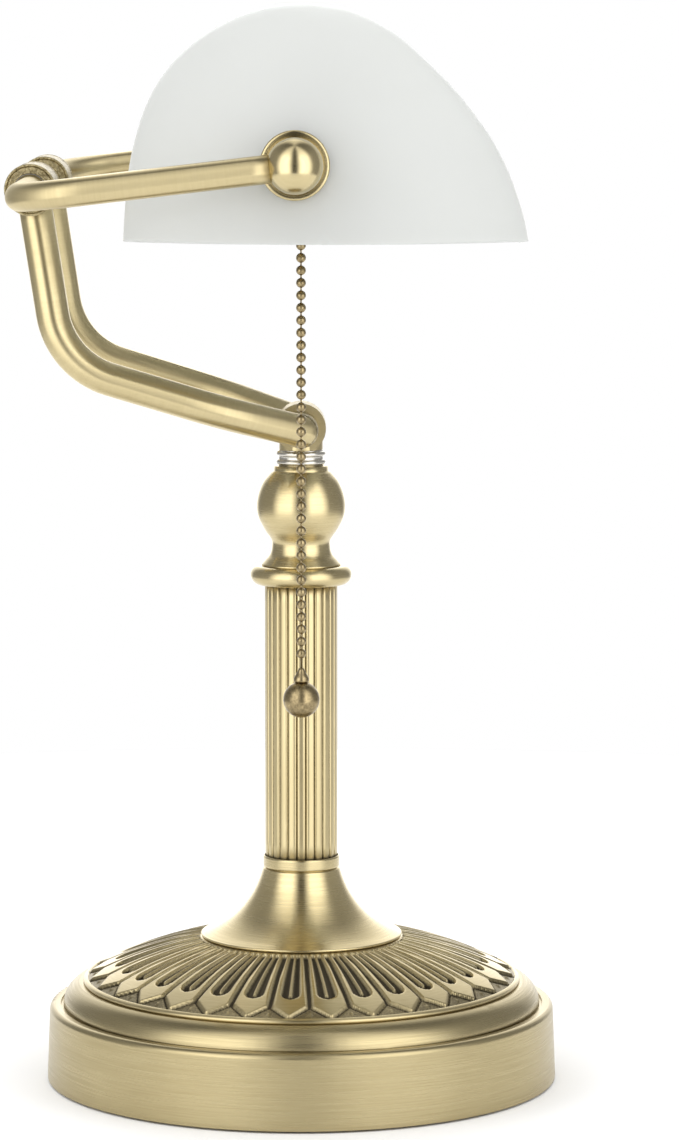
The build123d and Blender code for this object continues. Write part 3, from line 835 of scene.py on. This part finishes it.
class LAMP_OT_lower_arms(Piece):
    """Twin bent tubes with rounded cast ends, and the elbow barrels"""

    bl_idname = "lamp.lower_arms"
    bl_label = "Lower arms"

    def execute(self, context):
        for side, hand in ((-1, "left"), (1, "right")):
            node = f"arm_eye_{hand}"
            y, z = middle(node)[1:]
            inner = min(abs(low(node)[0]), abs(high(node)[0]))
            out = max(abs(low(node)[0]), abs(high(node)[0]))
            outline = np.concatenate([[(0.0, 0.016), (0.00256, 0.016), (0.00256, inner), (0.0055, inner),
                                       (0.006, inner + 0.0005)],
                                      arc_through((0.006, out - 0.0035), (0.00497, out - 0.00103),
                                                  (0.0025, out), 9), [(0.0012, out), (0.0, out)]])
            piece = turned(f"cast_eye_{hand}", outline * (1, side), (0, y, z), "X", 72, False)
            add_piece(piece, "lower_arm", finish_of("cast"), "cast_brass", node)
            node = f"elbow_barrel_{hand}"
            ey, ez = middle(node)[1:]
            ends = sorted((abs(low(node)[0]), abs(high(node)[0])))
            a, b = (e / MM for e in ends)
            points = [(4.71, a), (5.5, a), (5.65, a + 0.6), (7.8, a + 0.6), (7.95, a), (8.76, a),
                      (8.76, a + 2.2), (8.6, a + 2.5), (8.6, b - 2.5), (8.76, b - 2.2), (8.76, b),
                      (7.95, b), (7.8, b - 0.6), (5.65, b - 0.6), (5.5, b), (4.71, b)]
            outline = rounded(np.array(points) * MM, 0.0003, 4) * (1, side)
            piece = turned(f"cast_barrel_{hand}", outline, (0, ey, ez), "X", 110)
            add_piece(piece, "lower_arm", finish_of("cast"), "cast_brass", node)
            k = np.array([0, y, z])
            knee, elbow = np.array([side * 0.042, 0.0817, 0.2558]), np.array([side * 0.044, ey, ez])
            inside = elbow + (knee - elbow) / np.linalg.norm(knee - elbow) * 0.005
            corners = [k + (side * 0.017, 0, 0), (side * 0.038, 0.027, 0.2391), knee, inside]
            path = bent_path(corners, (0.042, 0.028))
            length = np.concatenate([[0], np.cumsum(np.linalg.norm(np.diff(path, axis=0), axis=1))])
            cap = np.array([-0.0057, -0.0054, -0.0045, -0.0031, -0.0016])
            start = path[0] + (path[1] - path[0]) / length[1] * cap[:, None]
            wide = 0.0057
            radius = np.concatenate([np.sqrt(np.maximum(wide**2 - cap**2, 1e-8)), wide + 0 * length])
            path = np.concatenate([start, path])
            piece = tube(f"bent_tube_{hand}", path, radius, (1, 0, 0.0), 56)
            add_piece(piece, "lower_arm", finish_of("tube"), "antique_brass", f"lower_tube_{hand}")
        return {"FINISHED"}


class LAMP_OT_yoke(Piece):
    """The long bent tube that carries the shade, and its ball ends"""

    bl_idname = "lamp.yoke"
    bl_label = "Yoke"

    def execute(self, context):
        y, z = middle("ball_left")[1:]
        ey, ez = middle("elbow_barrel_left")[1:]
        bx = 0.141
        gap, wide = 0.0082, 0.00465
        ends = [(side * bx, y + gap, z + (ez - z) * gap / (ey - y)) for side in (-1, 1)]
        path = bent_path([ends[0], (-bx, ey, ez), (bx, ey, ez), ends[1]], (0.022, 0.022))
        piece = tube("bent_yoke", path, wide, (0, 0.3, 1), 48)
        add_piece(piece, "yoke", finish_of("tube"), "antique_brass", "yoke_tube")
        for side, hand in ((-1, "left"), (1, "right")):
            node = f"ball_{hand}"
            r = (high(node)[2] - low(node)[2]) / 2
            bore = 0.00486
            inner = -math.sqrt(r * r - bore * bore)
            swing = np.linspace(math.atan2(bore, inner), 0, 44)
            outline = np.concatenate([[(0, 0.001), (bore, 0.001)],
                                      np.stack([r * np.sin(swing), r * np.cos(swing)], 1)])
            piece = turned(f"ball_end_{hand}", outline * (1, side), (side * bx, y, z), "X", 96, False)
            add_piece(piece, "yoke", finish_of("ball"), "antique_brass", node)
        return {"FINISHED"}


class LAMP_OT_shade(Piece):
    """Opal glass trough with rounded ends, and the cups that hold it"""

    bl_idname = "lamp.shade"
    bl_label = "Shade"

    def execute(self, context):
        rim = low("shade_glass")[2]
        points = [(57.9, 300.8), (57.4, 309.0), (56.3, 321.8), (54.1, 333.5), (50.1, 345.6),
                  (44.5, 355.2), (37.5, 362.8), (29.3, 369.0), (19.7, 373.8), (10.0, 376.7),
                  (0.3, 377.6), (-8.2, 377.0), (-16.4, 375.4), (-29.6, 368.8), (-41.1, 359.0),
                  (-51.7, 347.9), (-60.9, 335.7), (-66.6, 325.3), (-70.6, 314.9), (-72.7, 307.9),
                  (-74.1, 300.8)]
        line = smooth_curve(np.array(points) * MM, 6)
        line[:, 1] = np.minimum(line[:, 1], high("shade_glass")[2])
        y, z = line[:, 0], line[:, 1]
        # The roof follows the line from end to end. Each end is part of a sphere, met along rays from the
        # heart, and a quadratic curve as long as the glass edge eases it into the roof.
        round_r, round_x, yc = 0.1087, 0.0243, -0.008
        heart = np.array([yc, rim])

        def end_x(yy, zz):
            """How far out along X the sphere of the shade's end stands."""
            return round_x + np.sqrt(np.maximum(round_r**2 - (yy - yc) ** 2 - (zz - rim) ** 2, 0))

        ease = sizes().glass_edge
        away = np.hypot(y - heart[0], z - heart[1])
        f = np.linspace(0, 1, 40)[:-1] ** 0.8
        share = f[None] * (1 - ease / away[:, None])
        ya, za = heart[0] + (y - heart[0])[:, None] * share, heart[1] + (z - heart[1])[:, None] * share
        end = np.stack([end_x(ya, za), ya, za], axis=2)
        cut = 1 - ease / away
        ye, ze = heart[0] + (y - heart[0]) * cut, heart[1] + (z - heart[1]) * cut
        first = np.stack([end_x(ye, ze), ye, ze], 1)[:, None]
        corner = np.stack([end_x(y, z), y, z], 1)[:, None]
        last = corner - (ease, 0, 0)
        t = np.linspace(0, 1, 9)[None, :, None]
        curve = (1 - t) ** 2 * first + 2 * t * (1 - t) * corner + t**2 * last
        roof = np.linspace(1, 0, 26)[None, 1:, None]
        top = last * np.where(np.arange(3) == 0, roof, 1.0)
        half = np.concatenate([end, curve, top], axis=1)
        other = half[:, :-1][:, ::-1] * (-1, 1, 1)
        grid = np.concatenate([half, other], axis=1)
        uv = np.zeros(grid.shape[:2] + (2,))
        uv[..., 0], uv[..., 1] = grid[..., 0], np.arange(grid.shape[0])[:, None] * 0.002
        piece = grid_piece("glass_trough", grid, uv, (False, False))
        wall = piece.modifiers.new("wall", "SOLIDIFY")
        wall.thickness, wall.offset, wall.use_rim, wall.use_even_offset = 0.003, -1.0, True, True
        add_piece(piece, "shade", finish_of("opal"), "opal_glass", "shade_glass")
        for side, hand in ((-1, "left"), (1, "right")):
            node = f"cup_{hand}"
            cy, cz = middle(node)[1:]
            a, b = sorted((abs(low(node)[0]) / MM, abs(high(node)[0]) / MM))
            r = (high(node)[2] - low(node)[2]) / 2 / MM
            hollow = arc_through((8.14, b), (7.0, 141 - 6.35), (4.85, 141 - 8.11), 10)
            flange = rounded([(4.85, a), (r, a), (r, b), (8.5, b)], 0.9, 5)[5:-5]
            points = np.concatenate([flange, hollow]) * MM
            piece = turned(f"cup_ring_{hand}", points * (1, side), (0, cy, cz), "X", 110)
            add_piece(piece, "shade", finish_of("turned"), "antique_brass", node)
        return {"FINISHED"}


class LAMP_OT_pull_chain(Piece):
    """Bead chain with its bell and pull ball"""

    bl_idname = "lamp.pull_chain"
    bl_label = "Pull chain"

    def execute(self, context):
        x, y, _ = middle("pull_chain")
        z0, z1 = low("pull_chain")[2], high("pull_chain")[2]
        bead, pitch, wire = sizes().bead_radius, sizes().bead_pitch, 0.00028
        count = int((z1 - z0) / pitch)
        gap = math.sqrt(bead**2 - wire**2)
        swing = np.linspace(-gap, gap, 11) / bead
        swing = np.sin(swing / swing[-1] * math.pi / 2) * gap
        at = z1 - pitch / 2 - pitch * np.arange(count)[::-1]
        rows = (at[:, None] + swing[None]).ravel()
        radius = np.tile(np.sqrt(bead**2 - swing**2), count)
        outline = np.concatenate([[(0, z0), (wire, z0)], np.stack([radius, rows], 1), [(wire, z1), (0, z1)]])
        piece = turned("bead_chain", outline, (x, y, 0), columns=18, closed=False)
        add_piece(piece, "chain", finish_of("bronze"), "dark_bronze", "pull_chain")
        z, top = low("chain_bell")[2] / MM, high("chain_bell")[2] / MM
        bell = smooth_curve([(2.6, z + 0.5), (2.4, z + 1.6), (1.6, z + 3.0), (1.1, z + 4.0)], 6)
        outline = np.concatenate([[(0.0, z), (2.3, z)], bell, [(0.9, top), (0.0, top)]]) * MM
        piece = turned("pull_bell", outline, (x, y, 0), columns=40, closed=False)
        add_piece(piece, "chain", finish_of("bronze"), "dark_bronze", "chain_bell")
        zc = middle("pull_ball")[2]
        r = (high("pull_ball")[0] - low("pull_ball")[0]) / 2
        swing = np.linspace(-math.pi / 2, math.pi / 2, 40)
        outline = np.stack([r * np.cos(swing), zc + r * np.sin(swing)], 1)
        outline[:, 1] = np.clip(outline[:, 1], low("pull_ball")[2], high("pull_ball")[2])
        piece = turned("pull_ball_drop", outline, (x, y, 0), columns=64, closed=False)
        add_piece(piece, "chain", finish_of("bronze"), "dark_bronze", "pull_ball")
        return {"FINISHED"}


OPERATORS = (LAMP_OT_stage, LAMP_OT_finishes, LAMP_OT_dome, LAMP_OT_foot_trim, LAMP_OT_column,
             LAMP_OT_column_top, LAMP_OT_lower_arms, LAMP_OT_yoke, LAMP_OT_shade, LAMP_OT_pull_chain)


class LAMP_PT_sidebar(bpy.types.Panel):
    """Lists the lamp's pieces, sizes and colours"""

    bl_idname = "LAMP_PT_sidebar"
    bl_label = "Brass Desk Lamp"
    bl_space_type = "VIEW_3D"
    bl_region_type = "UI"
    bl_category = "Lamp"

    def draw(self, context):
        for operator in OPERATORS:
            self.layout.operator(operator.bl_idname)
        for group in (context.scene.lamp_sizes, context.scene.lamp_colours):
            for name in group.__annotations__:
                self.layout.prop(group, name)


CLASSES = (LampSizes, LampColours, *OPERATORS, LAMP_PT_sidebar)


def register():
    """Makes the sizes, colours, operators and panel known to Blender."""
    for made in CLASSES:
        bpy.utils.register_class(made)
    bpy.types.Scene.lamp_sizes = bpy.props.PointerProperty(type=LampSizes)
    bpy.types.Scene.lamp_colours = bpy.props.PointerProperty(type=LampColours)


def unregister():
    """Takes them away again."""
    del bpy.types.Scene.lamp_colours
    del bpy.types.Scene.lamp_sizes
    for made in reversed(CLASSES):
        bpy.utils.unregister_class(made)


def main():
    """Builds the whole lamp."""
    register()
    for operator in OPERATORS:
        group, name = operator.bl_idname.split(".")
        getattr(getattr(bpy.ops, group), name)()


if __name__ == "__main__":
    main()
